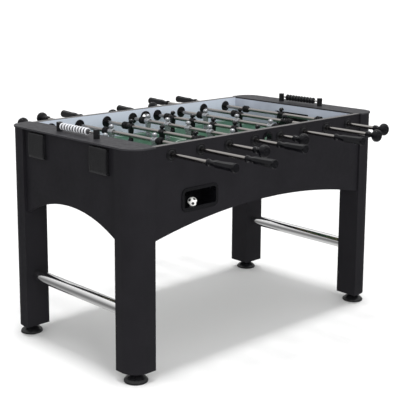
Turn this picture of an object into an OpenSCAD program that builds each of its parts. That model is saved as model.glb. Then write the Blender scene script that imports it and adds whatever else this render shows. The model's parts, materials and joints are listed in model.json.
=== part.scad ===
// Foosball table: a cabinet on four hollow legs, with eight rods that slide and spin.
// Millimetres. The origin is on the floor under the middle of the table.
// +X runs along the table, +Y to the rear long side, +Z up.

/* [Cabinet] */
// Length over the legs
table_l = 1400; // [1380:5:1440]
// Width over the legs
table_w = 776; // [760:2:800]
// Height of the long panels' top edges above the floor
panel_top = 872; // [865:1:890]
// Thickness of the long side panels
side_t = 18; // [15:1:20]
// Thickness of the end panels
end_t = 16; // [12:1:18]
// Height of the long panels' lower corners
side_low = 525; // [500:5:540]
// Height of the long panels' arch at the middle
side_crown = 593; // [580:1:600]
// Height of the end panels' lower corners
end_low = 526; // [500:1:540]
// Height of the end panels' arch at the middle
end_crown = 603; // [590:1:620]

/* [Legs] */
// Leg size along the table
leg_x = 106; // [96:1:112]
// Leg size across the table
leg_y = 102; // [92:1:108]
// Radius of each leg's outer corner
leg_corner_r = 68; // [40:1:80]
// Thickness of the leg boards
leg_wall = 15; // [12:1:18]
// Height of the legs' lower ends
leg_foot = 40; // [38:1:50]
// Height of the tube between two legs
leg_tube_z = 255; // [200:5:320]
// Diameter of the tube between two legs
leg_tube_d = 48; // [38:1:60]

/* [Top caps] */
// Thickness of the end caps
cap_t = 6; // [4:1:10]
// How far the caps stand out past the legs
cap_over = 4; // [2:1:8]
// How far the caps' tops stand above the long panels
cap_proud = 1; // [0:0.5:3]
// Radius of the caps' outer corners
cap_corner_r = 72; // [50:1:80]

/* [Playfield] */
// Height of the playing surface
field_z = 765; // [762:1:766]
// Thickness of the playing surface and of the goal walls
field_t = 12; // [9:1:15]
// Width of the goal mouth
goal_w = 200; // [180:5:220]
// Height of the goal mouth
goal_h = 70; // [60:1:75]

/* [Rods] */
// Distance between rods
rod_pitch = 146; // [144:1:147]
// Height of the rods' axes
rod_z = 834; // [833:1:836]
// Outer diameter of the rods
rod_d = 16; // [15:0.5:17]
// Wall thickness of the hollow rods
rod_wall = 2; // [1.5:0.5:3]
// Radial running clearance of the rods in bearings and bumpers
rod_gap = 0.08; // [0.04:0.01:0.1]
// Length of the handles
handle_l = 136; // [130:1:150]
// Length of the end knobs
knob_l = 64; // [60:1:68]

/* [Players] */
// Distance from the rod axis to the sole
sole_r = 65; // [62:1:65]
// Distance from the rod axis to the top of the head
head_top = 31; // [28:1:34]
// Spacing of the players on the rods of two
pair_pitch = 268; // [260:1:272]
// Spacing of the players on the rods of three
trio_pitch = 198; // [190:1:202]
// Spacing of the players on the rods of five
five_pitch = 129; // [125:1:130]

/* [Ball and scoring] */
// Diameter of the ball
ball_d = 36; // [34:1:36]
// Width of the opening of the ball return
return_w = 162; // [140:1:170]
// Height of the opening of the ball return
return_h = 66; // [60:1:70]
// Beads on each scoring bar
bead_count = 10; // [5:1:11]
// Length that one bead takes up on its bar
bead_pitch = 17.2; // [15:0.2:17.6]
// Distance of the score posts from the middle
post_y = 116; // [112:1:130]

/* [Drink holders] */
// Width of a drink holder
holder_w = 100; // [96:1:110]
// Height of a drink holder
holder_h = 97; // [94:1:105]
// Distance of the drink holders from the middle
holder_y = 195; // [180:1:210]

/* [Hidden] */
$fn = 64;
rods = [1:8];
men_on_rod = [1, 2, 3, 5, 5, 3, 2, 1];
// True where the handle is on the front side; the other team plays from the rear
front_handle = [true, true, false, true, false, true, false, false];
// Where each rod rests along its travel, towards the rear
rest_shift = [0, 12, 0, 0, 0, 0, -12, 0];

// Extra length of a cutting shape past the face that it cuts
cut = 1;
laminate = "#26262a";
board_edge = "#3a3a3f";
plastic = "#18181a";
chrome = "#c8ccd0";
wall_blue = "#a9b4c2";

half_l = table_l / 2;
half_w = table_w / 2;
inner_x = half_l - leg_x;
inner_y = half_w - leg_y;
side_recess = 8;
end_recess = 12;
// Straight part of the end panels' lower edges beside each leg
end_arch_inset = 6;
batten = 20;
batten_y = 120;
side_out = half_w - side_recess;
side_in = side_out - side_t;
end_out = half_l - end_recess;
end_in = end_out - end_t;
wall_x = inner_x - field_t;
field_under = field_z - field_t;
leg_mid_x = half_l - leg_x / 2;
leg_mid_y = half_w - leg_y / 2;

rod_r = rod_d / 2;
running_r = rod_r + rod_gap;
bearing_r = 14;
flange_r = 25;
outer_flange_t = 5;
inner_flange_t = 4;
flange_edge = 1;
flange_slope = 4;
stop_y = side_in - inner_flange_t;
hub_l = 26;
bumper_l = 32;
bumper_r = 16;
bumper_tip_r = 10;
bumper_groove_r = 13;
bumper_rib = 6;
bumper_groove = 2;
// The solo player's bumpers stand off from it
solo_bumper_y = 202;
neighbour_gap = 0.3;
// Where the handles and knobs end, on the rods of one, two, three and five players
handle_end = [704, 761, 682, 639];
knob_end = [584, 642, 578, 519];
socket_floor = 12;
// Outlines of a handle and a knob: [radius, distance from the inner end]
handle_outline = [[12, 0], [13, 2], [13, 8], [10, 16], [10, 26], [14.5, 46], [14, 70]];
handle_end_r = 17;
handle_chamfer = [1, 6];
knob_outline = [[12, 0], [13, 2], [13, 14], [10, 18], [10, 28], [21, 38], [25, 44]];
knob_end_r = 25;
knob_chamfer = [[0, 9], [5, 2], [13, 0]];

// A player's sizes, from the rod's axis
hub_r = 12;
chest_r = 12.5;
collar_r = 11;
chest_low = 6;
chest_top = 15;
arm_r = 6;
arm_z = 11;
neck_r = 5;
neck_top = 20;
head_r = 9;
hip_half = 10.5;
knee_half = 8;
hip_z = -4;
shin_t = 11;
boot_l = 19;
boot_heel = 8;
boot_h = 15;

serve_z = 832;
serve_r = 20;
serve_flange_r = 28;
return_x = -368;
return_z = 621;
return_rim = 12;
return_lip = 4;
bezel_t = 4;
liner_t = 3;
tray_depth = 66;
ball_x = -396;
ball_y = -368;

chute_w = 50;
chute_t = 3;
chute_high = 708;
chute_low = 690;
cross_high = 675;
cross_low = 643;
goal_box_x = 670;
goal_box_w = goal_w + 6;
goal_box_top = 850;
goal_funnel = 8;
goal_fall = 5;

post_r = 12;
post_h = 35;
post_chamfer = 2;
bar_r = 3;
bar_lift = 20;
bead_r = 14;
bead_face_r = 6;
bead_gap = 0.2;
cap_in = wall_x;
cap_out = half_l + cap_over;
cap_top = panel_top + cap_proud;
cap_low = cap_top - cap_t;
cap_mid = (cap_in + cap_out) / 2;

back_t = 4;
flap_t = 11.5;
flap_gap = 0.3;
flap_knuckle = 3.7;
flap_skin = 3;
flap_edge = 3.5;
holder_low = 761;
hinge_pin_r = 1.5;
hinge_bore_r = 1.56;
ear_t = 3;
cup_ring_r = 41;
cup_ring_t = 2.5;
cup_ring_h = 6;

foot_r = 45;
foot_h = 28;
foot_rim = 6;
stud_r = 6;
stud_top = 75;
stud_gap = 0.06;
nut_r = 11;
nut_h = 8;

function rod_x(n) = (n - 4.5) * rod_pitch;
function men(n) = men_on_rod[n - 1];
function kind(n) = men(n) == 5 ? 3 : men(n) - 1;
function men_pitch(n) = [0, pair_pitch, trio_pitch, five_pitch][kind(n)];
function men_y(n) = [for (i = [0:men(n) - 1]) (i - (men(n) - 1) / 2) * men_pitch(n)];
function bumper_y(n) = men(n) == 1 ? solo_bumper_y
    : men_y(n)[men(n) - 1] + hub_l / 2 + neighbour_gap;
function arch_r(half, low, crown) = (half * half + pow(crown - low, 2)) / (2 * (crown - low));

module both_ends() { children(); mirror([1, 0, 0]) children(); }
module both_sides() { children(); mirror([0, 1, 0]) children(); }

// Children drawn along +Z point at the front long side, or at the rear one
module facing(front) { mirror([0, front ? 0 : 1, 0]) rotate([90, 0, 0]) children(); }

// A rod's own place; children drawn along +Z point at its handle
module on_rod(n) {
    translate([rod_x(n), rest_shift[n - 1], rod_z]) facing(front_handle[n - 1]) children();
}

module tube(r_out, r_in, h) {
    difference() {
        cylinder(h = h, r = r_out);
        translate([0, 0, -cut]) cylinder(h = h + 2 * cut, r = r_in);
    }
}

// A rectangle with its corner at the origin rounded
module one_round_corner(x, y, r) {
    difference() {
        square([x, y]);
        difference() {
            translate([-cut, -cut]) square(r + cut);
            translate([r, r]) circle(r);
        }
    }
}

module round_rect(x, y, r) {
    difference() {
        square([x, y], center = true);
        for (a = [0, 1], b = [0, 1]) mirror([a, 0]) mirror([0, b])
            translate([x / 2 - r, y / 2 - r]) difference() {
                square(r + cut);
                circle(r);
            }
    }
}

module arched_board(half, arch_half, low, crown, top) {
    r = arch_r(arch_half, low, crown);
    difference() {
        translate([-half, low]) square([2 * half, top - low]);
        translate([0, crown - r]) circle(r, $fn = 256);
    }
}

module side_board() {
    difference() {
        arched_board(inner_x, inner_x, side_low, side_crown, panel_top);
        for (n = rods) translate([rod_x(n), rod_z]) circle(bearing_r);
        translate([0, serve_z]) circle(serve_r + liner_t);
    }
}

module return_outline(grow) {
    translate([return_x, return_z + return_h / 2])
        round_rect(return_w + 2 * grow, return_h + 2 * grow, return_rim + grow);
}

module front_side_panel() {
    color(laminate) facing(true) translate([0, 0, side_in]) linear_extrude(side_t) difference() {
        side_board();
        return_outline(liner_t);
    }
}

module rear_side_panel() {
    color(laminate) facing(false) translate([0, 0, side_in]) linear_extrude(side_t) side_board();
}

module end_panel() {
    translate([end_in, 0, 0]) rotate([90, 0, 90]) linear_extrude(end_t)
        arched_board(inner_y, inner_y - end_arch_inset, end_low, end_crown, cap_low);
}

module left_end_panel() { color(laminate) mirror([1, 0, 0]) end_panel(); }
module right_end_panel() { color(laminate) end_panel(); }

// An end cap: its inner corners are notched for the ends of the long panels
module top_cap() {
    translate([0, 0, cap_low]) linear_extrude(cap_t) difference() {
        translate([cap_in, -half_w - cap_over]) square([cap_out - cap_in, table_w + 2 * cap_over]);
        both_sides() translate([cap_in - cut, side_in]) square([inner_x - cap_in + cut, half_w]);
        both_sides() translate([cap_out, half_w + cap_over]) rotate(180) difference() {
            translate([-cut, -cut]) square(cap_corner_r + cut);
            translate([cap_corner_r, cap_corner_r]) circle(cap_corner_r);
        }
    }
}

module left_top_cap() { color(board_edge) mirror([1, 0, 0]) top_cap(); }
module right_top_cap() { color(board_edge) top_cap(); }

module goal_walls() {
    color(wall_blue) both_ends() difference() {
        translate([wall_x, -side_in, field_under])
            cube([field_t, 2 * side_in, cap_low - field_under]);
        translate([wall_x - cut, -goal_w / 2, field_z]) cube([field_t + 2 * cut, goal_w, goal_h]);
    }
}

module playfield() {
    color("#2f8a55") translate([-wall_x, -side_in, field_under])
        cube([2 * wall_x, 2 * side_in, field_t]);
}

// Strips that carry the playfield, with a gap where the ball chute crosses
module playfield_battens() {
    color("#c9ad7f") difference() {
        for (y = [-side_in, -batten_y, batten_y - batten, side_in - batten])
            translate([-wall_x, y, field_under - batten]) cube([2 * wall_x, batten, batten]);
        translate([return_x - chute_w / 2 - 2 * chute_t, -side_in - cut, field_under - batten - cut])
            cube([chute_w + 4 * chute_t, side_in, batten + 2 * cut]);
    }
}

module leg() {
    translate([-half_l, -half_w, leg_foot]) difference() {
        linear_extrude(cap_low - leg_foot) one_round_corner(leg_x, leg_y, leg_corner_r);
        translate([leg_wall, leg_wall, leg_wall])
            linear_extrude(cap_low - leg_foot - leg_wall + cut)
                one_round_corner(leg_x - 2 * leg_wall, leg_y - 2 * leg_wall, leg_corner_r - leg_wall);
        translate([leg_x / 2, leg_y / 2, -cut]) cylinder(h = leg_wall + 2 * cut, r = stud_r + stud_gap);
    }
}

module leg_front_left() { color(laminate) leg(); }
module leg_front_right() { color(laminate) mirror([1, 0, 0]) leg(); }
module leg_rear_left() { color(laminate) mirror([0, 1, 0]) leg(); }
module leg_rear_right() { color(laminate) mirror([1, 0, 0]) mirror([0, 1, 0]) leg(); }

module leg_tubes() {
    color(chrome) both_ends() translate([leg_mid_x, inner_y, leg_tube_z]) rotate([90, 0, 0])
        tube(leg_tube_d / 2, leg_tube_d / 2 - 2, 2 * inner_y);
}

// A screw foot: a domed pad, a stud and a lock nut
module foot(x, y) {
    // The dome is an arc through the rim's top and the nut's edge
    dome_z = (pow(foot_h, 2) + pow(nut_r, 2) - pow(foot_rim, 2) - pow(foot_r, 2))
        / (2 * (foot_h - foot_rim));
    dome_r = norm([foot_r, foot_rim - dome_z]);
    color(plastic) translate([x, y, 0]) {
        rotate_extrude() intersection() {
            square([foot_r, foot_h]);
            translate([0, dome_z]) circle(dome_r, $fn = 128);
        }
        cylinder(h = stud_top, r = stud_r);
        translate([0, 0, leg_foot - neighbour_gap - nut_h]) cylinder(h = nut_h, r = nut_r, $fn = 6);
    }
}

module foot_front_left() { foot(-leg_mid_x, -leg_mid_y); }
module foot_front_right() { foot(leg_mid_x, -leg_mid_y); }
module foot_rear_left() { foot(-leg_mid_x, leg_mid_y); }
module foot_rear_right() { foot(leg_mid_x, leg_mid_y); }

// A straight run along X of width w and height up to top, from x0 to x1. Its underside goes
// from height z0 to z1, less drop
module chute(x0, z0, x1, z1, w, drop, top) {
    translate([0, w / 2, 0]) rotate([90, 0, 0]) linear_extrude(w)
        polygon([[x0, z0 - drop], [x1, z1 - drop], [x1, top], [x0, top]]);
}

// The space behind a goal: its floor falls to the middle and towards the chute
module goal_box(w, drop, top) {
    intersection() {
        translate([inner_x, -w / 2, chute_high - drop])
            cube([goal_box_x - inner_x - (drop > 0 ? 0 : chute_t), w, top - chute_high + drop]);
        for (side = [0, 1]) mirror([0, side, 0]) translate([inner_x, 0, chute_high - drop])
            rotate([goal_funnel, -goal_fall, 0])
                translate([-leg_x, -cut, 0]) cube([2 * leg_x, goal_w, 2 * goal_box_top]);
    }
}

// The two runs from the goals and the run across to the return
module chutes(wall, drop, top) {
    w = chute_w + 2 * wall;
    gap = chute_w / 2;
    chute(-inner_x, chute_high, return_x + gap, chute_low, w, drop, top);
    chute(return_x - gap, chute_low, inner_x, chute_high, w, drop, top);
    translate([return_x, 0, 0]) rotate(-90)
        chute(-gap - wall, cross_high, side_in - tray_depth + (wall > 0 ? 0 : cut), cross_low,
            w, drop, top);
}

module ball_track() {
    color(plastic) difference() {
        union() {
            chutes(chute_t, chute_t, field_under);
            both_ends() goal_box(goal_box_w, chute_t, goal_box_top);
        }
        chutes(0, 0, field_under + cut);
        both_ends() translate([-cut, 0, 0]) goal_box(goal_w, 0, goal_box_top - chute_t);
    }
}

module ball_tray() {
    deep = tray_depth + side_t;
    facing(true) {
        translate([0, 0, side_out]) linear_extrude(bezel_t) difference() {
            return_outline(return_rim);
            difference() {
                return_outline(0);
                translate([return_x - return_w, return_z - cut]) square([2 * return_w, return_lip + cut]);
            }
        }
        translate([0, 0, side_in]) linear_extrude(side_t) difference() {
            return_outline(liner_t);
            return_outline(0);
        }
        translate([0, 0, side_out - deep]) difference() {
            linear_extrude(tray_depth) return_outline(liner_t);
            translate([0, 0, liner_t]) linear_extrude(deep) return_outline(0);
            translate([return_x - chute_w / 2, cross_low, -cut])
                cube([chute_w, return_z + return_h - cross_low - return_rim, liner_t + 2 * cut]);
        }
    }
}

module serve_cup(front) {
    translate([0, 0, serve_z]) facing(front) difference() {
        union() {
            translate([0, 0, side_in - inner_flange_t])
                cylinder(h = inner_flange_t, r = serve_flange_r);
            translate([0, 0, side_in]) cylinder(h = side_t, r = serve_r + liner_t);
            translate([0, 0, side_out]) cylinder(h = bezel_t, r = serve_flange_r);
        }
        translate([0, 0, stop_y - cut])
            cylinder(h = side_t + inner_flange_t + bezel_t + 2 * cut, r = serve_r);
    }
}

module ball_cups() {
    color(plastic) {
        ball_tray();
        serve_cup(true);
        serve_cup(false);
    }
}

module bearing() {
    rotate_extrude() polygon([
        [running_r, side_in - inner_flange_t], [flange_r - flange_slope, side_in - inner_flange_t],
        [flange_r, side_in - flange_edge], [flange_r, side_in], [bearing_r, side_in],
        [bearing_r, side_out], [flange_r, side_out], [flange_r, side_out + flange_edge],
        [flange_r - flange_slope, side_out + outer_flange_t - flange_edge],
        [bearing_r, side_out + outer_flange_t],
        [running_r, side_out + outer_flange_t]]);
}

module rod_bearings() {
    color(plastic) for (n = rods, front = [true, false])
        translate([rod_x(n), 0, rod_z]) facing(front) bearing();
}

module score_posts() {
    color(plastic) both_ends() translate([cap_mid, 0, cap_top]) {
        both_sides() difference() {
            translate([0, post_y, 0]) union() {
                cylinder(h = post_h - post_chamfer, r = post_r);
                translate([0, 0, post_h - post_chamfer])
                    cylinder(h = post_chamfer, r1 = post_r, r2 = post_r - post_chamfer);
            }
            score_bar();
        }
        score_bar();
    }
}

module score_bar() {
    translate([0, post_y, bar_lift]) rotate([90, 0, 0]) cylinder(h = 2 * post_y, r = bar_r);
}

module bead() {
    bore = bar_r + rod_gap;
    l = bead_pitch - bead_gap;
    rotate_extrude() polygon([[bore, 0], [bead_face_r, 0], [bead_r, l / 3], [bead_r, 2 * l / 3],
        [bead_face_r, l], [bore, l]]);
}

// Beads packed side by side, the last one ending at the distance y_end towards the rear
module beads(y_end) {
    for (i = [0:bead_count - 1])
        translate([0, y_end - i * bead_pitch, cap_top + bar_lift]) rotate([90, 0, 0]) bead();
}

module left_score_beads() {
    color("white") translate([-cap_mid, 0, 0]) beads(post_y - post_r - neighbour_gap);
}

module right_score_beads() {
    color(plastic) translate([cap_mid, 0, 0]) beads(bead_count * bead_pitch / 2);
}

hinge_x = -end_out - back_t - flap_gap - flap_knuckle;
hinge_z = holder_low + flap_knuckle + flap_gap;

// The back plate of one drink holder, with the hinge pin between its two ears
module holder_back(y) {
    ear_y = holder_w / 2 + neighbour_gap;
    translate([-end_out - back_t, y - holder_w / 2, hinge_z + flap_knuckle])
        cube([back_t, holder_w, holder_low + holder_h - hinge_z - flap_knuckle]);
    for (side = [-1, 1]) translate([0, y + side * (ear_y + ear_t / 2), 0])
        rotate([90, 0, 0]) linear_extrude(ear_t, center = true) {
            translate([hinge_x, hinge_z]) circle(flap_knuckle);
            translate([hinge_x, hinge_z - flap_knuckle])
                square([-end_out - hinge_x, 2 * flap_knuckle]);
        }
    translate([hinge_x, y, hinge_z]) rotate([90, 0, 0])
        cylinder(h = 2 * (ear_y + ear_t), r = hinge_pin_r, center = true);
    for (side = [-1, 1]) translate([-end_out - back_t, y + side * (ear_y + ear_t / 2), hinge_z])
        translate([0, -ear_t / 2 - (side > 0 ? neighbour_gap : 0), -flap_knuckle])
            cube([back_t, ear_t + neighbour_gap, 4 * flap_knuckle]);
}

module cup_holder_backs() {
    color(plastic) for (side = [-1, 1]) holder_back(side * holder_y);
}

module cup_holder_flap(y) {
    out = hinge_x + flap_knuckle - flap_t;
    top = holder_low + holder_h;
    translate([0, y, 0]) difference() {
        rotate([90, 0, 0]) linear_extrude(holder_w, center = true) difference() {
            translate([out, holder_low + flap_gap]) square([flap_t, top - holder_low - flap_gap]);
            translate([hinge_x, hinge_z]) difference() {
                rotate(-90) square(flap_knuckle + cut);
                circle(flap_knuckle);
            }
        }
        difference() {
            translate([out + flap_skin, -holder_w / 2 + flap_edge, hinge_z + flap_knuckle])
                cube([flap_t, holder_w - 2 * flap_edge, top - flap_edge - hinge_z - flap_knuckle]);
            translate([out, 0, (hinge_z + flap_knuckle + top - flap_edge) / 2]) rotate([0, 90, 0])
                tube(cup_ring_r, cup_ring_r - cup_ring_t, flap_skin + cup_ring_h);
        }
        translate([hinge_x, 0, hinge_z]) rotate([90, 0, 0])
            cylinder(h = holder_w + 2 * cut, r = hinge_bore_r, center = true);
    }
}

module cup_holder_flap_front() { color(plastic) cup_holder_flap(-holder_y); }
module cup_holder_flap_rear() { color(plastic) cup_holder_flap(holder_y); }

module ball() {
    color("white") translate([ball_x, ball_y, return_z + ball_d / 2 + neighbour_gap])
        sphere(d = ball_d);
}

// Rubber stops either side of the players: three ribs and a tapered tip towards the middle
module bumper() {
    tip = bumper_l - 3 * bumper_rib - 2 * bumper_groove;
    pitch = bumper_rib + bumper_groove;
    rotate_extrude() polygon(concat(
        [[running_r, 0], [bumper_tip_r, 0], [bumper_groove_r, tip]],
        [for (z = [tip, tip + pitch]) each [
            [bumper_r, z], [bumper_r, z + bumper_rib],
            [bumper_groove_r, z + bumper_rib], [bumper_groove_r, z + pitch]]],
        [[bumper_r, tip + 2 * pitch], [bumper_r, bumper_l], [running_r, bumper_l]]));
}

module rod_bumpers(n) {
    color(plastic) for (handle = [true, false])
        on_rod(n) mirror([0, 0, handle ? 0 : 1]) translate([0, 0, bumper_y(n)]) bumper();
}

module rod_tube(n) {
    from = knob_end[kind(n)] - socket_floor;
    to = handle_end[kind(n)] - socket_floor;
    color(chrome) on_rod(n) translate([0, 0, -from]) tube(rod_r, rod_r - rod_wall, from + to);
}

// One player around the rod axis, its toes towards +X
module player() {
    difference() {
        union() {
            rotate([90, 0, 0]) cylinder(h = hub_l, r = hub_r, center = true);
            translate([0, 0, chest_low]) cylinder(h = chest_top - chest_low, r1 = chest_r, r2 = collar_r);
            translate([0, 0, arm_z]) rotate([90, 0, 0]) cylinder(h = hub_l, r = arm_r, center = true);
            translate([0, 0, chest_top - cut]) cylinder(h = neck_top - chest_top + cut, r = neck_r);
            translate([0, 0, head_top - head_r]) sphere(head_r);
            rotate([90, 0, 90]) linear_extrude(shin_t, center = true)
                polygon([[-hip_half, hip_z], [hip_half, hip_z],
                    [knee_half, boot_h - cut - sole_r], [-knee_half, boot_h - cut - sole_r]]);
            translate([-boot_heel, -boot_l / 2, -sole_r]) cube([boot_l, boot_l, boot_h]);
        }
        rotate([90, 0, 0]) cylinder(h = 2 * hub_l, r = rod_r, center = true);
    }
}

module rod_players(n) {
    front = front_handle[n - 1];
    color(front ? "silver" : plastic)
        for (y = men_y(n)) translate([rod_x(n), y + rest_shift[n - 1], rod_z])
            mirror([front ? 0 : 1, 0, 0]) player();
}

// A turned grip with a blind socket for the rod in its inner end
module grip(outline, l) {
    rotate_extrude() polygon(concat([[rod_r, 0]], outline,
        [[0, l], [0, l - socket_floor], [rod_r, l - socket_floor]]));
}

module handle() {
    grip(concat(handle_outline, [[handle_end_r, handle_l - handle_chamfer[1]],
        [handle_end_r - handle_chamfer[0], handle_l]]), handle_l);
}

module knob() {
    grip(concat(knob_outline, [for (c = knob_chamfer) [knob_end_r - c[0], knob_l - c[1]]]), knob_l);
}

module rod_grips(n) {
    color(plastic) on_rod(n) {
        translate([0, 0, handle_end[kind(n)] - handle_l]) handle();
        mirror([0, 0, 1]) translate([0, 0, knob_end[kind(n)] - knob_l]) knob();
    }
}

front_side_panel();
rear_side_panel();
left_end_panel();
right_end_panel();
left_top_cap();
right_top_cap();
goal_walls();
playfield();
playfield_battens();
leg_front_left();
leg_front_right();
leg_rear_left();
leg_rear_right();
leg_tubes();
ball_track();
ball_cups();
rod_bearings();
score_posts();
left_score_beads();
right_score_beads();
cup_holder_backs();
cup_holder_flap_front();
cup_holder_flap_rear();
ball();
foot_front_left();
foot_front_right();
foot_rear_left();
foot_rear_right();
for (n = rods) {
    rod_bumpers(n);
    rod_tube(n);
    rod_players(n);
    rod_grips(n);
}
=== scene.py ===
"""Foosball table: the looks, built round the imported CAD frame. Metres, in the CAD's own frame."""
import json
import math

import bmesh
import bpy
from mathutils import Matrix, Vector


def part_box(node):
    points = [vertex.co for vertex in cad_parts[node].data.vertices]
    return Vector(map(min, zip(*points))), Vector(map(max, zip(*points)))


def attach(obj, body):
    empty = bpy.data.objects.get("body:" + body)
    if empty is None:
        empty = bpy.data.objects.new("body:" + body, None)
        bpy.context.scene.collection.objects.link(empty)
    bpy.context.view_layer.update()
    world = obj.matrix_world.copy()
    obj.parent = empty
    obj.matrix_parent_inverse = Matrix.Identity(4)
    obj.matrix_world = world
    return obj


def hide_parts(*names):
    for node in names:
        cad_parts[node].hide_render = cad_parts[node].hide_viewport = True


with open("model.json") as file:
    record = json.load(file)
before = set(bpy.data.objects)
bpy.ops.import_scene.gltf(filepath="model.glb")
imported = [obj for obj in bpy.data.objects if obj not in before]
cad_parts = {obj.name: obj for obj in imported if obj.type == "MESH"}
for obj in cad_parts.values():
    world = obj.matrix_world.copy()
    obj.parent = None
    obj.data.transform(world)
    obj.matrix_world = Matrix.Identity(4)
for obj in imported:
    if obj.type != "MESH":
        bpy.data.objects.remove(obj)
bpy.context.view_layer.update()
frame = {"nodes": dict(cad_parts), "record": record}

MM = 0.001
ROD_NUMBERS = range(1, 9)
JOINTS = {joint["name"]: joint for joint in frame["record"]["behaviour"]["joints"]}
CABINET = "cabinet"


# ---------------------------------------------------------------- shader helpers

class Shader:
    """One node material with a Principled shader, and short calls that add and join its nodes."""

    def __init__(self, name, color, roughness, metallic=0.0, specular=0.5):
        self.material = bpy.data.materials.new(name)
        self.material.use_nodes = True
        self.tree = self.material.node_tree
        self.bsdf = self.tree.nodes["Principled BSDF"]
        self.bsdf.inputs["Base Color"].default_value = (*color, 1)
        self.bsdf.inputs["Roughness"].default_value = roughness
        self.bsdf.inputs["Metallic"].default_value = metallic
        self.bsdf.inputs["Specular IOR Level"].default_value = specular
        self.color = color
        self.place = self.tree.nodes.new("ShaderNodeTexCoord").outputs["Object"]

    def node(self, kind, settings=None, **links):
        """Adds a node; settings sets its properties, links its inputs by name or, as in_0, by number."""
        made = self.tree.nodes.new(kind)
        for key, value in (settings or {}).items():
            setattr(made, key, value)
        for key, value in links.items():
            socket = made.inputs[int(key[3:]) if key.startswith("in_") else key.replace("_", " ")]
            if isinstance(value, bpy.types.NodeSocket):
                self.tree.links.new(value, socket)
            else:
                socket.default_value = value
        return made

    def math(self, operation, a, b=0.0, c=0.0):
        return self.node("ShaderNodeMath", {"operation": operation}, in_0=a, in_1=b, in_2=c).outputs[0]

    def stretched(self, x, y, z):
        """The object's coordinates scaled by x, y and z, for streaks and brushed lines."""
        return self.node("ShaderNodeMapping", Vector=self.place, Scale=(x, y, z)).outputs[0]

    def noise(self, scale, detail=2.0, place=None, roughness=0.5):
        made = self.node("ShaderNodeTexNoise", Vector=place or self.place, Scale=scale,
                         Detail=detail, Roughness=roughness)
        return made.outputs["Fac"]

    def spread(self, value, low, high, from_low=0.3, from_high=0.7):
        """Maps a noise value onto low..high."""
        return self.node("ShaderNodeMapRange", Value=value, From_Min=from_low, From_Max=from_high,
                         To_Min=low, To_Max=high).outputs[0]

    def mix(self, factor, a, b):
        """A colour between a and b; each is a colour or a socket."""
        made = self.tree.nodes.new("ShaderNodeMix")
        made.data_type = "RGBA"
        for socket, value in ((made.inputs[0], factor), (made.inputs[6], a), (made.inputs[7], b)):
            if isinstance(value, bpy.types.NodeSocket):
                self.tree.links.new(value, socket)
            else:
                socket.default_value = (*value, 1) if isinstance(value, tuple) else value
        return made.outputs[2]

    def set(self, socket, value):
        self.tree.links.new(value, self.bsdf.inputs[socket])

    def shade(self, scale, amount, detail=3.0, place=None):
        """Lets the base colour vary by this share, as a print or a moulding does."""
        low = tuple(c * (1 - amount) for c in self.color)
        high = tuple(min(1.0, c * (1 + amount)) for c in self.color)
        self.set("Base Color", self.mix(self.spread(self.noise(scale, detail, place), 0, 1), low, high))

    def rough(self, scale, low, high, detail=3.0, place=None):
        self.set("Roughness", self.spread(self.noise(scale, detail, place), low, high))

    def bump(self, height, strength, distance):
        made = self.node("ShaderNodeBump", Height=height, Strength=strength, Distance=distance)
        self.set("Normal", made.outputs[0])


def laminate(name, color, roughness=0.5, grain=1400.0, depth=0.35, specular=0.1):
    """Printed foil on fibreboard: a fine leathery grain, slight clouds and rubbed spots."""
    s = Shader(name, color, roughness, specular=specular)
    s.shade(9.0, 0.10)
    s.rough(60.0, roughness - 0.07, roughness + 0.07)
    fine = s.noise(grain, 3.0)
    s.bump(s.math("ADD", fine, s.math("MULTIPLY", s.noise(grain / 6), 0.6)), depth, 0.15 * MM)
    return s


def lined_laminate(name, color, lining):
    """The long panels' foil: pale on the inner face above the field, dark everywhere else."""
    s = laminate(name, color)
    inner = -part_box("front_side_panel")[1].y
    parts = s.node("ShaderNodeSeparateXYZ", Vector=s.place).outputs
    inside = s.math("LESS_THAN", s.math("ABSOLUTE", parts[1]), inner + 0.2 * MM)
    above = s.math("GREATER_THAN", parts[2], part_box("playfield")[0].z)
    under_edge = s.math("LESS_THAN", parts[2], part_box("front_side_panel")[1].z - 1.5 * MM)
    zone = s.math("MULTIPLY", inside, s.math("MULTIPLY", above, under_edge))
    dark = s.bsdf.inputs["Base Color"].links[0].from_socket
    s.set("Base Color", s.mix(zone, dark, lining))
    return s


def chrome(name, color, streak):
    """Polished chrome with faint lengthwise rub marks; streak is the coordinate scale along X, Y and Z."""
    s = Shader(name, color, 0.14, metallic=1.0)
    along = s.stretched(*streak)
    s.rough(1.0, 0.07, 0.2, 4.0, along)
    s.bump(s.noise(1.0, 3.0, along), 0.06, 0.05 * MM)
    return s


def moulded(name, color, low, high, grain=1800.0, depth=0.2, specular=0.5):
    """Injection-moulded plastic with a spark-eroded grain and slightly rubbed, shinier patches."""
    s = Shader(name, color, (low + high) / 2, specular=specular)
    s.shade(45.0, 0.12)
    s.rough(110.0, low, high)
    s.bump(s.noise(grain, 2.0), depth, 0.1 * MM)
    return s


def rubber(name, color):
    s = Shader(name, color, 0.7, specular=0.3)
    s.shade(200.0, 0.2)
    s.rough(300.0, 0.6, 0.82)
    s.bump(s.noise(2500.0, 3.0), 0.3, 0.12 * MM)
    return s


def plated(name, color):
    """Silver-plated plastic: bright metal with a soft orange-peel surface."""
    s = Shader(name, color, 0.25, metallic=0.65)
    s.rough(160.0, 0.19, 0.31)
    s.bump(s.noise(500.0, 2.0), 0.12, 0.1 * MM)
    return s


# ---------------------------------------------------------------- mesh helpers

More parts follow.
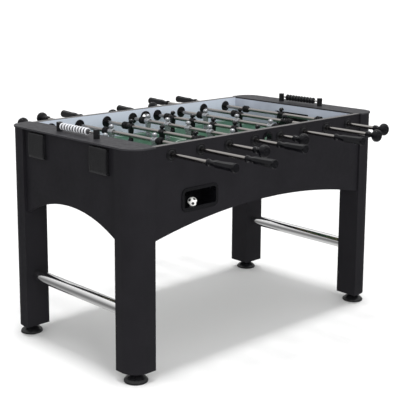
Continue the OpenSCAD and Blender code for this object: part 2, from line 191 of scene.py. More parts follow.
def new_object(name, bm, shaders, body, smooth_angle=35.0):
    """Turns a bmesh into an object that rides on a body."""
    bmesh.ops.recalc_face_normals(bm, faces=bm.faces)
    mesh = bpy.data.meshes.new(name)
    bm.to_mesh(mesh)
    bm.free()
    mesh.polygons.foreach_set("use_smooth", [True] * len(mesh.polygons))
    mesh.set_sharp_from_angle(angle=math.radians(smooth_angle))
    for one in shaders if isinstance(shaders, (list, tuple)) else [shaders]:
        mesh.materials.append(one.material)
    made = bpy.data.objects.new(name, mesh)
    bpy.context.scene.collection.objects.link(made)
    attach(made, body)
    return made


def skin(bm, rings, closed_ends=True, matrix=None):
    """Joins rings of points, each of the same count, into a surface. A closed loop repeats its first ring."""
    made = [[bm.verts.new(matrix @ Vector(p) if matrix else p) for p in ring] for ring in rings]
    count = len(made[0])
    for a, b in zip(made, made[1:]):
        for i in range(count):
            j = (i + 1) % count
            bm.faces.new((a[i], a[j], b[j], b[i]))
    if closed_ends:
        bm.faces.new(list(reversed(made[0])))
        bm.faces.new(made[-1])


def circle(r, z, steps):
    return [(r * math.cos(a), r * math.sin(a), z)
            for a in (2 * math.pi * i / steps for i in range(steps))]


def lathe(bm, profile, matrix, steps):
    """Turns a list of (radius, height) into a solid along the matrix's Z."""
    skin(bm, [circle(r, z, steps) for r, z in profile], True, matrix)


def ring_lathe(bm, profile, matrix, steps):
    """Turns a closed outline of (radius, height) into a ring with a hole."""
    made = [[bm.verts.new(matrix @ Vector(p)) for p in circle(r, z, steps)] for r, z in profile]
    for a, b in zip(made, made[1:] + made[:1]):
        for i in range(steps):
            j = (i + 1) % steps
            bm.faces.new((a[i], a[j], b[j], b[i]))


def rounded(points, radius, steps=3):
    """The same outline with each inner corner replaced by a short arc; points are (radius, height)."""
    out = [points[0]]
    for a, b, c in zip(points, points[1:], points[2:]):
        a, b, c = Vector(a), Vector(b), Vector(c)
        into, away = b - a, c - b
        cut = min(radius, into.length * 0.45, away.length * 0.45)
        if cut < 1e-7 or into.angle(away) < 0.05:
            out.append(tuple(b))
            continue
        start, end = b - into.normalized() * cut, b + away.normalized() * cut
        for i in range(steps + 1):
            t = i / steps
            out.append(tuple(start * (1 - t) ** 2 + b * 2 * t * (1 - t) + end * t ** 2))
    return out + [points[-1]]


def bevelled_box(bm, low, high, radius, segments):
    low, high = Vector(low), Vector(high)
    made = bmesh.ops.create_cube(bm, size=1.0)
    size = high - low
    bmesh.ops.transform(bm, matrix=Matrix.Translation((low + high) / 2) @ Matrix.Diagonal((*size, 1)),
                        verts=made["verts"])
    edges = {e for v in made["verts"] for e in v.link_edges}
    bmesh.ops.bevel(bm, geom=list(edges), offset=min(radius, min(size) * 0.45),
                    segments=segments, profile=0.5, affect="EDGES")


def edge_bevel(obj, width, segments=2):
    """Rounds the hard edges of a CAD piece as it is shown; its own mesh stays as it is."""
    made = obj.modifiers.new("edge", "BEVEL")
    made.width = width
    made.segments = segments
    made.limit_method = "ANGLE"
    made.angle_limit = math.radians(40)
    made.use_clamp_overlap = True
    made.harden_normals = False


def paint(node, shader, bevel=0.0):
    """Gives a CAD node its material, and soft edges if bevel isn't 0."""
    obj = frame["nodes"][node]
    obj.data.materials.clear()
    obj.data.materials.append(shader.material)
    if bevel:
        edge_bevel(obj, bevel)


def facing(x, y, z, front):
    """A place whose Z points out of the front long side, or of the rear one."""
    turn = Matrix.Rotation(math.radians(90 if front else -90), 4, "X")
    return Matrix.Translation((x, y, z)) @ turn


# ---------------------------------------------------------------- rods, from the frame

MEN_ON_ROD = (1, 2, 3, 5, 5, 3, 2, 1)
PLAYER_W = 26 * MM
HANDLE_L = 136 * MM
KNOB_L = 64 * MM
BUMPER_L = 32 * MM


class Rod:
    """Where one rod's pieces are, read from the CAD boxes."""

    def __init__(self, number):
        tube_low, tube_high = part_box(f"rod_tube_{number}")
        grip_low, grip_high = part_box(f"rod_grips_{number}")
        men_low, men_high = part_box(f"rod_players_{number}")
        stop_low, stop_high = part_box(f"rod_bumpers_{number}")
        self.number = number
        self.body = f"rod_{number}"
        self.x = (tube_low.x + tube_high.x) / 2
        self.z = (tube_low.z + tube_high.z) / 2
        self.radius = (tube_high.z - tube_low.z) / 2
        self.front = -grip_low.y > grip_high.y
        self.handle_end = abs(grip_low.y if self.front else grip_high.y)
        self.knob_end = abs(grip_high.y if self.front else grip_low.y)
        count = MEN_ON_ROD[number - 1]
        span = men_high.y - men_low.y - PLAYER_W
        middle = (men_low.y + men_high.y) / 2
        self.men = [middle + span * (i / max(1, count - 1) - 0.5) for i in range(count)]
        self.stop_ends = (stop_low.y, stop_high.y)

    def at(self, y, front):
        return facing(self.x, y, self.z, front)


RODS = [Rod(n) for n in ROD_NUMBERS]


# ---------------------------------------------------------------- players

def oval(z, cx, cy, rx, ry, power=2.0, steps=24):
    """A ring in the XY plane; a power above 2 makes it squarer."""
    ring = []
    for i in range(steps):
        a = 2 * math.pi * i / steps
        c, s = math.cos(a), math.sin(a)
        ring.append(((cx + rx * math.copysign(abs(c) ** (2 / power), c)) * MM,
                     (cy + ry * math.copysign(abs(s) ** (2 / power), s)) * MM, z * MM))
    return ring


def ellipsoid(bm, centre, radii, matrix, steps=16, rings=8):
    stack = []
    for i in range(1, rings):
        a = math.pi * i / rings
        stack.append(oval(centre[2] - radii[2] * math.cos(a), centre[0], centre[1],
                          radii[0] * math.sin(a), radii[1] * math.sin(a), steps=steps))
    skin(bm, stack, True, matrix)


# Each outline is a list of (height, centre x, half depth, half width, squareness), in millimetres
TORSO = [(-13, 0, 9.4, 12, 2.8), (-9, 0, 10.2, 12.8, 2.8), (-2, 0, 10.8, 13, 2.8), (4, 0.3, 10.8, 13, 2.6),
         (8, 0.4, 10.2, 13, 2.5), (11, 0, 9, 12.6, 2.4), (13, -0.2, 7, 10.4, 2.2), (14.4, -0.3, 5, 6, 2)]
NECK = [(12, -0.2, 5, 5, 2), (14, -0.2, 4.4, 4.4, 2), (17, 0.2, 5, 5, 2)]
HEAD = [(13.4, 0.8, 3, 2.8, 2), (14.4, 1.2, 5.6, 5, 2), (16.5, 1.2, 8, 7.4, 2.1), (19.5, 0.8, 9.6, 9.2, 2.1),
        (23, 0.2, 10.2, 10, 2.1), (26, -0.2, 9.6, 9.4, 2), (28.6, -0.6, 7.6, 7.4, 2),
        (30.3, -0.7, 4.6, 4.4, 2), (31, -0.7, 1.4, 1.4, 2)]
HAIR = [(18, -4, 7, 9.6, 2.1), (21.5, -2.2, 9, 10.6, 2.1), (25, -1.2, 10, 10.4, 2.1),
        (28, -0.9, 8.6, 8.6, 2), (30.2, -0.8, 5.4, 5.4, 2), (31, -0.8, 2.4, 2.4, 2)]
SHORTS = [(-9, 0, 10, 12.6, 2.8), (-16, 0.2, 9.8, 12.6, 3), (-23, 0.4, 9.2, 12, 3), (-28, 0.5, 8.6, 11.4, 3),
          (-29, 0.5, 7, 9.8, 3)]
LEG = [(-24, 0.2, 6.4, 5.2, 2.2), (-31, 0.6, 6.2, 5, 2.2), (-36, 0.8, 5.6, 4.5, 2.2),
       (-37, 0.8, 6.2, 5.1, 2.2), (-41, 0.4, 6.3, 5.2, 2.3), (-48, 0.2, 5.8, 4.8, 2.4),
       (-54, 0.2, 6, 4.9, 2.4)]
BOOT = [(-49.6, 0, 5.0, 6.4, 3), (-50.4, 0.1, 6.8, 8.4, 4), (-54, 0.6, 7.8, 9.2, 5), (-59, 1.4, 9.0, 9.5, 6),
        (-62.5, 1.6, 9.2, 9.5, 6), (-64.4, 1.6, 8.6, 9.0, 5), (-65, 1.6, 7.4, 7.8, 4)]
ARM = [(12.4, 0.2, 9.2, 2.8, 2.2), (9, 0.2, 10.1, 2.9, 2), (4, 0.8, 10.2, 2.7, 2), (0, 2.6, 9.9, 2.5, 2),
       (-3.6, 5.4, 9.4, 2.4, 2), (-6, 7.6, 8.6, 2.5, 2), (-7.2, 8.6, 8, 1.4, 2)]


def upright(bm, outline, matrix, cy=0.0, steps=24):
    skin(bm, [oval(z, cx, cy, rx, ry, power, steps) for z, cx, rx, ry, power in outline], True, matrix)


def player(bm, rod, y):
    """A generic figure round the rod, its toes towards the other team's goal."""
    turn = Matrix.Identity(4) if rod.front else Matrix.Rotation(math.pi, 4, "Z")
    place = Matrix.Translation((rod.x, y, rod.z)) @ turn
    for outline in (TORSO, NECK, HEAD, HAIR, SHORTS, BOOT):
        upright(bm, outline, place)
    for side in (-1, 1):
        upright(bm, LEG, place, cy=side * 5.2, steps=16)
        skin(bm, [oval(z, cx, side * cy, r, r, power, 12) for z, cx, cy, r, power in ARM], True, place)
        ellipsoid(bm, (0, side * 10.2, 21.5), (2, 1, 2.7), place, 10, 6)
        ellipsoid(bm, (9.3, side * 3.5, 23), (1.2, 1.4, 1), place, 10, 6)
    ellipsoid(bm, (10.3, 0, 20.8), (1.6, 1.4, 2.1), place, 10, 6)
    ellipsoid(bm, (8.7, 0, 17.4), (1, 2.6, 0.6), place, 10, 6)
    hub = place @ Matrix.Rotation(math.radians(90), 4, "X")
    half, bore, out = 13 * MM, rod.radius, 12 * MM
    ring_lathe(bm, [(bore, -half), (out - MM, -half), (out, -half + MM), (out, half - MM),
                    (out - MM, half), (bore, half)], hub, 32)
    screw = place @ Matrix.Translation((0, 0, 0)) @ Matrix.Rotation(math.radians(-90), 4, "Y")
    lathe(bm, [(3.4 * MM, 8 * MM), (3.4 * MM, 12.4 * MM), (2.9 * MM, 12.9 * MM), (1.7 * MM, 12.9 * MM),
               (1.5 * MM, 11.6 * MM)], screw, 12)


def players(rod, material):
    bm = bmesh.new()
    for y in rod.men:
        player(bm, rod, y)
    made = new_object(f"players_{rod.number}", bm, material, rod.body, 40.0)
    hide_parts(f"rod_players_{rod.number}")


# ---------------------------------------------------------------- handles, knobs and bumpers

# (distance from the inner end, radius, how octagonal), in millimetres
HANDLE = [(0, 8.2, 0), (0, 11.8, 0), (0.8, 12.9, 0), (7.4, 13, 0), (8.6, 11.8, 0), (11, 11, 0),
          (15.5, 10.1, 0), (22, 9.9, 0.1),
          (28, 10.6, 0.35), (36, 12.4, 0.7), (44, 14.2, 1), (49, 14.5, 1), (58, 14.1, 1),
          (70, 14, 1), (88, 14.9, 1), (108, 16, 1), (124, 16.8, 1), (129, 17, 1), (130, 15.4, 0.2),
          (131.4, 15.2, 0), (132, 16.2, 0), (135, 16.1, 0), (136, 15.2, 0), (136, 11.2, 0), (135, 10.6, 0),
          (135, 4, 0), (135.5, 3.4, 0), (135.5, 0.6, 0)]
# (radius, distance from the inner end), in millimetres
KNOB = [(8.2, 0), (12, 0), (13, 1.6), (13, 13), (11.6, 15), (10.2, 18), (9.8, 24), (11, 29), (15, 33.6),
        (20.5, 38), (24, 42.4), (25, 47), (25, 52), (23.8, 57), (20.6, 61), (17.4, 63.2), (15.6, 63.4),
        (14.6, 62.2), (8.6, 62.0), (7.8, 63.0), (6.6, 63.6), (0.8, 64)]


def eight_sided(angle):
    """How far an octagon's side is from the middle at this angle, for a corner radius of 1."""
    eighth = math.pi / 4
    return math.cos(eighth / 2) / math.cos((angle % eighth) - eighth / 2)


def handle(bm, matrix):
    steps = 48
    rings = []
    for z, r, flat in HANDLE:
        ring = []
        for i in range(steps):
            a = 2 * math.pi * i / steps
            here = r * (1 - flat + flat * eight_sided(a)) * MM
            ring.append((here * math.cos(a), here * math.sin(a), z * MM))
        rings.append(ring)
    skin(bm, rings, True, matrix)


def grips(rod, material):
    bm = bmesh.new()
    sign = -1 if rod.front else 1
    handle(bm, rod.at(sign * (rod.handle_end - HANDLE_L), rod.front))
    knob = [(r * MM, z * MM) for r, z in KNOB]
    lathe(bm, rounded(knob, 1.2 * MM, 2), rod.at(-sign * (rod.knob_end - KNOB_L), not rod.front), 48)
    made = new_object(f"grips_{rod.number}", bm, material, rod.body, 24.0)
    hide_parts(f"rod_grips_{rod.number}")


def bumpers(rod, material):
    """Rubber stops: three ribs and a tapered tip towards the players."""
    rib, groove, deep, out = 4.6, 4.1, 10.6, 16
    outline = [(8.3, 0), (10.4, 0), (12.6, 6.4), (deep, 8), (deep, 10)]
    for i in range(3):
        start = 10 + i * (rib + groove)
        outline += [(out, start), (out, start + rib), (deep, start + rib)]
        if i < 2:
            outline.append((deep, start + rib + groove))
    outline = [(r, z) for r, z in outline[:-1]] + [(8.3, 32)]
    profile = rounded([(r * MM, z * MM) for r, z in outline], 0.9 * MM, 2)
    bm = bmesh.new()
    low, high = rod.stop_ends
    ring_lathe(bm, profile, rod.at(low + BUMPER_L, True), 40)
    ring_lathe(bm, profile, rod.at(high - BUMPER_L, False), 40)
    made = new_object(f"bumpers_{rod.number}", bm, material, f"bumpers_{rod.number}", 50.0)
    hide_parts(f"rod_bumpers_{rod.number}")


# ---------------------------------------------------------------- bearings

def bearings(material):
    """Stepped plastic flanges outside and inside both long panels, one pair for each rod end."""
    panel_low, panel_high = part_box("front_side_panel")
    low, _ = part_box("rod_bearings")
    outer, inner, lip = -panel_low.y, -panel_high.y, -low.y
    bm = bmesh.new()
    for rod in RODS:
        bore = rod.radius + 0.3 * MM
        flange, step = 25 * MM, 15 * MM
        outside = [(bore, outer - 2 * MM), (flange, outer - 2 * MM), (flange, outer + 1.4 * MM),
                   (flange - 2 * MM, outer + 2.4 * MM), (step + 2 * MM, outer + 2.8 * MM),
                   (step, lip), (bore + 2 * MM, lip), (bore, lip - MM)]
        inside = [(bore, inner + 2 * MM), (flange, inner + 2 * MM), (flange, inner - 1.6 * MM),
                  (flange - 3 * MM, inner - 3.2 * MM), (step, inner - 3.4 * MM),
                  (step - 2 * MM, inner - 4 * MM), (bore, inner - 4 * MM)]
        for front in (True, False):
            place = facing(rod.x, 0, rod.z, front)
            ring_lathe(bm, rounded(outside, 0.6 * MM, 2), place, 48)
            ring_lathe(bm, rounded(inside, 0.6 * MM, 2), place, 48)
    made = new_object("bearing_flanges", bm, material, CABINET, 30.0)
    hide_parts("rod_bearings")


# ---------------------------------------------------------------- scorers

def score_bar(left, post_material, bar_material):
    posts_low, posts_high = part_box("score_posts")
    post_r, bar_r = 12 * MM, 3 * MM
    x = posts_low.x + post_r if left else posts_high.x - post_r
    y = posts_high.y - post_r
    height = posts_high.z - posts_low.z
    beads_low, beads_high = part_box("left_score_beads")
    bar_z = (beads_low.z + beads_high.z) / 2
    name = "left" if left else "right"
    profile = rounded([(post_r, 0), (post_r, height), (0.5 * MM, height)], 2.2 * MM, 4)
    bm = bmesh.new()
    for side in (-1, 1):
        lathe(bm, profile, Matrix.Translation((x, side * y, posts_low.z)), 40)
    posts = new_object(f"{name}_score_posts", bm, post_material, CABINET)
    bm = bmesh.new()
    lathe(bm, [(bar_r, -y), (bar_r, y)], facing(x, 0, bar_z, False), 24)
    bar = new_object(f"{name}_score_rod", bm, bar_material, CABINET)
    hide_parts("score_posts")
    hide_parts("score_posts")


BEADS = 10
# (radius, share of the pitch) of one bead: a thick disc between two sunken hubs
BEAD = [(3.4, 0.01), (4.4, 0.01), (4.4, 0.2), (9, 0.23), (13.4, 0.34), (14, 0.42), (14, 0.58), (13.4, 0.66),
        (9, 0.77), (4.4, 0.8), (4.4, 0.99), (3.4, 0.99)]


def white_plastic(node):
    """White beads whose discs are painted darker towards the bar: painted shade in the gaps between the
    discs.
    """
    s = moulded("white_bead", (0.70, 0.71, 0.74), 0.2, 0.34, grain=700.0, depth=0.06)
    low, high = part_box(node)
    parts = s.node("ShaderNodeSeparateXYZ", Vector=s.place).outputs
    across = s.math("SUBTRACT", parts[0], (low.x + high.x) / 2)
    above = s.math("SUBTRACT", parts[2], (low.z + high.z) / 2)
    radius = s.math("SQRT", s.math("ADD", s.math("POWER", s.math("ABSOLUTE", across), 2.0),
                                   s.math("POWER", s.math("ABSOLUTE", above), 2.0)))
    # painted shade: the discs' colour fades from white at 13.2 mm to dark grey at 9 mm from the bar's axis
    rim = s.spread(radius, 0, 1, 9 * MM, 13.2 * MM)
    bright = s.bsdf.inputs["Base Color"].links[0].from_socket
    # mixes the painted shade colour in near the bar, the bead's own white towards the rim
    s.set("Base Color", s.mix(rim, (0.06, 0.06, 0.065), bright))
    return s


def score_beads(left, material):
    node = "left_score_beads" if left else "right_score_beads"
    low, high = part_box(node)
    pitch = (high.y - low.y) / BEADS
    profile = rounded([(r * MM, share * pitch) for r, share in BEAD], 0.8 * MM, 3)
    bm = bmesh.new()
    for i in range(BEADS):
        place = facing((low.x + high.x) / 2, low.y + i * pitch, (low.z + high.z) / 2, False)
        ring_lathe(bm, profile, place, 36)
    body = "left_beads" if left else "right_beads"
    made = new_object(f"{body}_turned", bm, material, body, 60.0)
    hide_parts(node)


# ---------------------------------------------------------------- feet

def feet(pad_material, steel):
    nut_gap, nut_h = 0.3 * MM, 7.7 * MM
    nut_top = (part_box("leg_front_left")[0].z - nut_gap) / MM
    nut_base = nut_top - nut_h / MM
    for node in ("foot_front_left", "foot_front_right", "foot_rear_left", "foot_rear_right"):
        low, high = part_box(node)
        place = Matrix.Translation(((low.x + high.x) / 2, (low.y + high.y) / 2, 0))
        dome = [(44, 0), (45, 1.2), (45, 5.4), (43.4, 8.4), (38, 13.8), (31, 19), (23, 23.6), (15.5, 27),
                (13, 28), (12.4, 29.6), (7, 29.6), (6.2, 28.6), (0.5, 28.6)]
        bm = bmesh.new()
        lathe(bm, rounded([(r * MM, z * MM) for r, z in dome], 1.2 * MM, 2), place, 64)
        pad = new_object(f"{node}_pad", bm, pad_material, node, 30.0)
        bm = bmesh.new()
        thread = []
        z = 28.0
        while z < 1000 * high.z:
            thread += [(6.0, z), (5.4, z + 0.75)]
            z += 1.5
        lathe(bm, [(r * MM, h * MM) for r, h in thread], place, 24)
        nut = [(9.6, nut_base), (11, nut_base + 0.8), (11, nut_top - 0.8), (9.6, nut_top)]
        skin(bm, [[(r * MM * math.cos(a), r * MM * math.sin(a), h * MM)
                   for a in (math.pi / 3 * i for i in range(6))] for r, h in nut], True, place)
        stud = new_object(f"{node}_stud", bm, steel, node, 20.0)
        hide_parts(node)
        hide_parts(node)


# ---------------------------------------------------------------- ball

def football(material_white, material_black):
    """A ball of twenty white and twelve black patches with a fine seam between them."""
    low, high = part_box("ball")
    centre, radius = (low + high) / 2, (high.z - low.z) / 2
    bm = bmesh.new()
    bmesh.ops.create_icosphere(bm, subdivisions=6, radius=1.0)
    golden = (1 + math.sqrt(5)) / 2
    corners = [Vector(p).normalized() for p in
               [(0, a, b * golden) for a in (-1, 1) for b in (-1, 1)]
               + [(a, b * golden, 0) for a in (-1, 1) for b in (-1, 1)]
               + [(b * golden, 0, a) for a in (-1, 1) for b in (-1, 1)]]
    turn = Matrix.Rotation(2.39, 3, "Z") @ Matrix.Rotation(2.38, 3, "Y") @ Matrix.Rotation(0.32, 3, "Z")
    corners = [turn @ c for c in corners]

    def pentagon(point):
        """Below 0 inside a black patch, above 0 outside, in radians of arc."""
        near = max(corners, key=lambda c: c.dot(point))
        next_five = sorted((c for c in corners if c != near), key=lambda c: -c.dot(near))[:5]
        push = max((point - near * point.dot(near)).dot((c - near * c.dot(near)).normalized())
                   for c in next_five)
        return push - 0.29

    for v in bm.verts:
        off = pentagon(v.co)
        v.co = v.co * (1 - 0.02 * math.exp(-(off / 0.02) ** 2))
    for f in bm.faces:
        f.material_index = 1 if pentagon(f.calc_center_median().normalized()) < 0 else 0
    bmesh.ops.transform(bm, matrix=Matrix.Translation(centre) @ Matrix.Scale(radius, 4), verts=bm.verts)
    made = new_object("football", bm, [material_white, material_black], "ball", 60.0)
    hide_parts("ball")


# ---------------------------------------------------------------- trim

def top_strips(material):
    """The thin edging along the top of both long panels."""
    for name, node in (("front", "front_side_panel"), ("rear", "rear_side_panel")):
        low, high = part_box(node)
        bm = bmesh.new()
        bevelled_box(bm, (low.x, low.y - 0.2 * MM, high.z - 1.6 * MM),
                     (high.x, high.y + 0.2 * MM, high.z + 0.4 * MM), 0.8 * MM, 3)
        new_object(f"{name}_top_strip", bm, material, CABINET)


# ---------------------------------------------------------------- drink holders

def rounded_loop(half_y, half_z, radius, depth, per_corner=4, per_side=8):
    """A rectangle with round corners in the YZ plane; depth gives a point's X from its height."""
    quarters = ((1, 1), (-1, 1), (-1, -1), (1, -1))

    def on_corner(quarter, angle):
        sy, sz = quarters[quarter % 4]
        return Vector((0, sy * (half_y - radius) + radius * math.cos(angle),
                       sz * (half_z - radius) + radius * math.sin(angle)))

    loop = []
    for q in range(4):
        loop += [on_corner(q, math.pi / 2 * (q + i / per_corner)) for i in range(per_corner + 1)]
        corner_end, next_start = loop[-1], on_corner(q + 1, math.pi / 2 * (q + 1))
        loop += [corner_end.lerp(next_start, i / per_side) for i in range(1, per_side)]
    return [(depth(p.z), p.y, p.z) for p in loop]


def drink_holder(side, material):
    """A fold-down tray with a bowed front, a framed panel on it and a cup ring in its pocket."""
    node = f"cup_holder_flap_{side}"
    low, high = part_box(node)
    centre = (low + high) / 2
    half_y, half_z = (high.y - low.y) / 2, (high.z - low.z) / 2
    hinge_x, _, hinge_z = JOINTS[f"holder_flap_{side}_hinge"]["pos_m"]
    knuckle = hinge_z - low.z
    wall, skin_t, edge, bow, step, corner = 3.5 * MM, 3 * MM, 1.5 * MM, 3 * MM, 0.6 * MM, 4 * MM

    def front(extra=0.0):
        return lambda z: low.x + bow * (z / half_z) ** 2 + extra

    def back(z):
        under = hinge_z - (centre.z + z)
        return high.x if under < 0 else hinge_x + math.sqrt(max(0.0, knuckle ** 2 - under ** 2))

    def loop(inset, depth, share=1.0):
        return rounded_loop((half_y - inset) * share, (half_z - inset) * share,
                            max(0.5 * MM, corner - inset) * share, depth)

    frame_w = 6 * MM
    rings = [loop(frame_w + step, front(step), share) for share in (0.02, 0.3, 0.6, 0.85, 1.0)]
    rings += [loop(frame_w, front()), loop(edge, front()), loop(0.3 * edge, front(0.3 * edge)),
              loop(0, front(edge)), loop(0, back), loop(wall, back), loop(wall, front(skin_t))]
    rings += [loop(wall, front(skin_t), share) for share in (0.7, 0.4, 0.02)]
    bm = bmesh.new()
    skin(bm, rings, True, Matrix.Translation((0, centre.y, centre.z)))
    lathe(bm, [(knuckle, -half_y), (knuckle, half_y)], facing(hinge_x, centre.y, hinge_z, False), 32)
    ring_r, ring_t, ring_h = 41 * MM, 2.5 * MM, 6 * MM
    ring_z = (hinge_z + knuckle + high.z - wall) / 2
    ring = [(ring_r - ring_t, 0), (ring_r, 0), (ring_r, ring_h), (ring_r - ring_t, ring_h)]
    place = Matrix.Translation((low.x + skin_t, centre.y, ring_z)) @ Matrix.Rotation(math.radians(90), 4, "Y")
    ring_lathe(bm, ring, place, 64)
    made = new_object(f"drink_holder_{side}", bm, material, f"holder_flap_{side}", 30.0)
    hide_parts(node)


# ---------------------------------------------------------------- playfield print

def playfield_print():
    """Green foil with the white lines of a pitch, laid out from the field's own size."""
    green = (0.006, 0.062, 0.026)
    s = Shader("playfield_print", green, 0.42, specular=0.4)
    low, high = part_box("playfield")
    half_x, half_y = high.x, high.y
    parts = s.tree.nodes.new("ShaderNodeSeparateXYZ")
    s.tree.links.new(s.place, parts.inputs[0])
    x, y = parts.outputs[0], parts.outputs[1]
    across, along = s.math("ABSOLUTE", y), s.math("ABSOLUTE", x)

    half_line, border, print_border = 3 * MM, 20 * MM, 16.5 * MM
    centre_radius, spot_radius, corner_radius = 105 * MM, 8 * MM, 50 * MM
    penalty_depth, penalty_half_width = 170 * MM, 215 * MM
    goal_depth, goal_half_width = 75 * MM, 135 * MM
    arc_from_end, arc_radius = 120 * MM, 95 * MM

    def line(distance):
        return s.math("LESS_THAN", s.math("ABSOLUTE", distance), half_line)

    def box_edge(ax, ay, hx, hy):
        """Distance to the outline of a box of half sizes hx and hy, from its middle ax, ay."""
        return s.math("MAXIMUM", s.math("SUBTRACT", ax, hx), s.math("SUBTRACT", ay, hy))

    def arc_edge(dx, dy, radius):
        """Distance to the outline of a circle, from its middle dx, dy."""
        length = s.math("SQRT", s.math("ADD", s.math("MULTIPLY", dx, dx), s.math("MULTIPLY", dy, dy)))
        return s.math("SUBTRACT", length, radius)

    from_end = s.math("SUBTRACT", half_x - border, along)
    penalty_arc = line(arc_edge(s.math("SUBTRACT", from_end, arc_from_end), across, arc_radius))
    beyond_box = s.math("GREATER_THAN", from_end, penalty_depth)
    marks = [
        line(box_edge(along, across, half_x - border, half_y - border)),
        line(along),
        line(arc_edge(along, across, centre_radius)),
        line(box_edge(from_end, across, penalty_depth, penalty_half_width)),
        line(box_edge(from_end, across, goal_depth, goal_half_width)),
        s.math("MULTIPLY", penalty_arc, beyond_box),
        line(arc_edge(from_end, s.math("SUBTRACT", across, half_y - border), corner_radius)),
    ]
    inside = s.math("LESS_THAN", box_edge(along, across, half_x - print_border, half_y - print_border), 0.0)
    spot = s.math("LESS_THAN", arc_edge(along, across, spot_radius), 0.0)
    total = spot
    for m in marks:
        total = s.math("MAXIMUM", total, m)
    total = s.math("MULTIPLY", total, inside)
    cloud = s.spread(s.noise(14.0, 3.0), 0, 1)
    grass = s.mix(cloud, tuple(c * 0.88 for c in green), tuple(c * 1.14 for c in green))
    s.set("Base Color", s.mix(total, grass, (0.36, 0.44, 0.38)))
    s.rough(80.0, 0.34, 0.48)
    s.bump(s.noise(1600.0, 2.0), 0.15, 0.1 * MM)
    return s


# ---------------------------------------------------------------- the object

def dress_cabinet():
    dark, pale_color = (0.0128, 0.0122, 0.0145), (0.62, 0.67, 0.77)
    charcoal = laminate("charcoal_laminate", dark, 0.45)
    lined = lined_laminate("lined_laminate", dark, pale_color)
    cap = laminate("cap_laminate", (0.032, 0.0315, 0.035), 0.42, grain=1100.0, depth=0.25)
    pale = laminate("wall_laminate", (0.47, 0.50, 0.59), 0.45, grain=900.0, depth=0.12, specular=0.3)
    trim = laminate("edge_band", (0.13, 0.125, 0.125), 0.4, grain=900.0, depth=0.1)
    wood = laminate("batten_wood", (0.50, 0.36, 0.20), 0.65, grain=700.0, depth=0.3)
    for node in ("left_end_panel", "right_end_panel", "leg_front_left", "leg_front_right",
                 "leg_rear_left", "leg_rear_right"):
        paint(node, charcoal, 1.2 * MM)
    for node in ("front_side_panel", "rear_side_panel"):
        paint(node, lined, 1.2 * MM)
    for node in ("left_top_cap", "right_top_cap"):
        paint(node, cap, 1.8 * MM)
    paint("goal_walls", pale, 0.8 * MM)
    paint("playfield", playfield_print())
    paint("playfield_battens", wood, 1.0 * MM)
    top_strips(trim)


def dress_plastics():
    black = moulded("black_plastic", (0.009, 0.009, 0.010), 0.26, 0.4, specular=0.25)
    gloss = moulded("bezel_plastic", (0.004, 0.004, 0.005), 0.1, 0.18, grain=900.0, depth=0.05, specular=0.35)
    paint("ball_track", black, 0.5 * MM)
    paint("ball_cups", gloss, 0.8 * MM)
    paint("cup_holder_backs", black, 0.8 * MM)
    holder = moulded("holder_plastic", (0.009, 0.009, 0.010), 0.2, 0.27, grain=1600.0, depth=0.03,
                     specular=0.4)
    for side in ("front", "rear"):
        drink_holder(side, holder)
    bearings(moulded("bearing_plastic", (0.004, 0.004, 0.005), 0.12, 0.18, grain=1200.0, depth=0.05,
                     specular=0.35))
    return black


def dress_rods():
    rod_chrome = chrome("rod_chrome", (0.29, 0.276, 0.264), (900.0, 6.0, 900.0))
    grip = moulded("grip_plastic", (0.004, 0.004, 0.005), 0.08, 0.15, grain=1200.0, depth=0.05, specular=0.17)
    stop = rubber("bumper_rubber", (0.006, 0.006, 0.007))
    silver = plated("silver_player", (0.36, 0.37, 0.39))
    dark = moulded("black_player", (0.004, 0.004, 0.005), 0.07, 0.13, grain=700.0, depth=0.05, specular=0.32)
    for rod in RODS:
        paint(f"rod_tube_{rod.number}", rod_chrome)
        players(rod, silver if rod.front else dark)
        grips(rod, grip)
        bumpers(rod, stop)
    return rod_chrome


def dress_details(black, rod_chrome):
    paint("leg_tubes", chrome("leg_chrome", (0.78, 0.78, 0.78), (500.0, 4.0, 500.0)))
    for left in (True, False):
        score_bar(left, black, rod_chrome)
    score_beads(True, white_plastic("left_score_beads"))
    score_beads(False, moulded("black_bead", (0.010, 0.010, 0.011), 0.2, 0.34, grain=700.0, depth=0.06))
    steel = chrome("stud_steel", (0.42, 0.42, 0.43), (300.0, 300.0, 60.0))
    feet(moulded("foot_plastic", (0.008, 0.008, 0.009), 0.24, 0.4, specular=0.35), steel)
    football(moulded("ball_white", (0.82, 0.82, 0.80), 0.25, 0.38, grain=500.0, depth=0.08),
             moulded("ball_black", (0.012, 0.012, 0.013), 0.25, 0.38, grain=500.0, depth=0.08))


# ---------------------------------------------------------------- studio

# The camera that a fit to the table's corners gave; metres and degrees
CAMERA_PLACE = (-2.7682, -2.8835, 1.4915)
CAMERA_YAW, CAMERA_PITCH, CAMERA_ROLL = 46.219, 10.157, 0.293
CAMERA_LENS = 86.16
CAMERA_SHIFT = -0.15


def camera():
    """The photograph's viewing angle. The small vertical shift makes the upright lines lean less."""
    data = bpy.data.cameras.new("camera")
    data.sensor_width = 36.0
    data.lens = CAMERA_LENS
    data.shift_y = CAMERA_SHIFT
    made = bpy.data.objects.new("camera", data)
    bpy.context.scene.collection.objects.link(made)
    yaw, pitch, roll = (math.radians(a) for a in (CAMERA_YAW, CAMERA_PITCH, CAMERA_ROLL))
    look = Vector((math.cos(yaw) * math.cos(pitch), math.sin(yaw) * math.cos(pitch), -math.sin(pitch)))
    made.rotation_mode = "QUATERNION"
    made.rotation_quaternion = look.to_track_quat("-Z", "Y") @ Matrix.Rotation(roll, 3, "Z").to_quaternion()
    made.location = CAMERA_PLACE
    bpy.context.scene.camera = made


def area_light(name, place, target, size, watts):
    data = bpy.data.lights.new(name, "AREA")
    data.shape = "RECTANGLE"
    data.size, data.size_y = size
    data.energy = watts
    made = bpy.data.objects.new(name, data)
    made.location = place
    made.visible_glossy = False
    made.rotation_mode = "QUATERNION"
    made.rotation_quaternion = (Vector(target) - Vector(place)).to_track_quat("-Z", "Y")
    bpy.context.scene.collection.objects.link(made)


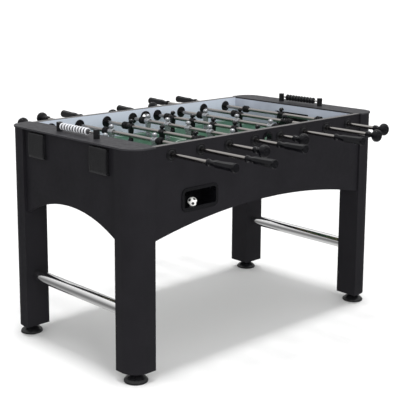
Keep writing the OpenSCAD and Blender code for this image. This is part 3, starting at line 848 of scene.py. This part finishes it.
def sky():
    """A white background; diffuse light is brighter near the horizon, reflections are darker there."""
    world = bpy.data.worlds.new("studio")
    world.use_nodes = True
    tree = world.node_tree
    background = tree.nodes["Background"]
    background.inputs["Color"].default_value = (1, 1, 1, 1)

    def link(value, socket):
        if isinstance(value, bpy.types.NodeSocket):
            tree.links.new(value, socket)
        else:
            socket.default_value = value

    def ramp(start, end, low, high):
        """Strength low where the view's height is start, and high from the height end onwards."""
        made = tree.nodes.new("ShaderNodeMapRange")
        for name, value in (("Value", up), ("From Min", start), ("From Max", end),
                            ("To Min", low), ("To Max", high)):
            link(value, made.inputs[name])
        return made.outputs[0]

    def choose(ray, chosen, other):
        made = tree.nodes.new("ShaderNodeMix")
        for socket, value in zip((made.inputs[0], made.inputs[3], made.inputs[2]),
                                 (path.outputs[ray], chosen, other)):
            link(value, socket)
        return made.outputs[0]

    path = tree.nodes.new("ShaderNodeLightPath")
    parts = tree.nodes.new("ShaderNodeSeparateXYZ")
    link(tree.nodes.new("ShaderNodeTexCoord").outputs["Generated"], parts.inputs[0])
    up = parts.outputs[2]
    floor_glow = ramp(-0.35, -1.0, 0.0, 0.75)
    both = tree.nodes.new("ShaderNodeMath")
    link(ramp(0.0, 0.8, 0.22, 1.3), both.inputs[0])
    link(floor_glow, both.inputs[1])
    reflected = both.outputs[0]
    diffuse = ramp(0.0, 1.0, 1.3, 0.75)
    link(choose("Is Camera Ray", 1.0, choose("Is Glossy Ray", reflected, diffuse)),
         background.inputs["Strength"])
    bpy.context.scene.world = world


def studio():
    scene = bpy.context.scene
    scene.view_settings.view_transform = "Standard"
    sky()
    bm = bmesh.new()
    bmesh.ops.create_grid(bm, x_segments=1, y_segments=1, size=40.0)
    mesh = bpy.data.meshes.new("floor")
    bm.to_mesh(mesh)
    bm.free()
    floor = bpy.data.objects.new("floor", mesh)
    mesh.materials.append(Shader("floor_paint", (0.78, 0.78, 0.78), 0.9, specular=0.1).material)
    scene.collection.objects.link(floor)
    floor.visible_glossy = False
    overhead = bpy.data.lights.new("overhead", "SUN")
    overhead.energy = 1.85
    overhead.angle = math.radians(9)
    sun = bpy.data.objects.new("overhead", overhead)
    scene.collection.objects.link(sun)
    area_light("front", (-1.6, -3.9, 1.8), (-0.3, 0, 0.6), (1.6, 2.0), 60)


camera()
dress_cabinet()
plastic = dress_plastics()
chrome_rods = dress_rods()
dress_details(plastic, chrome_rods)
studio()
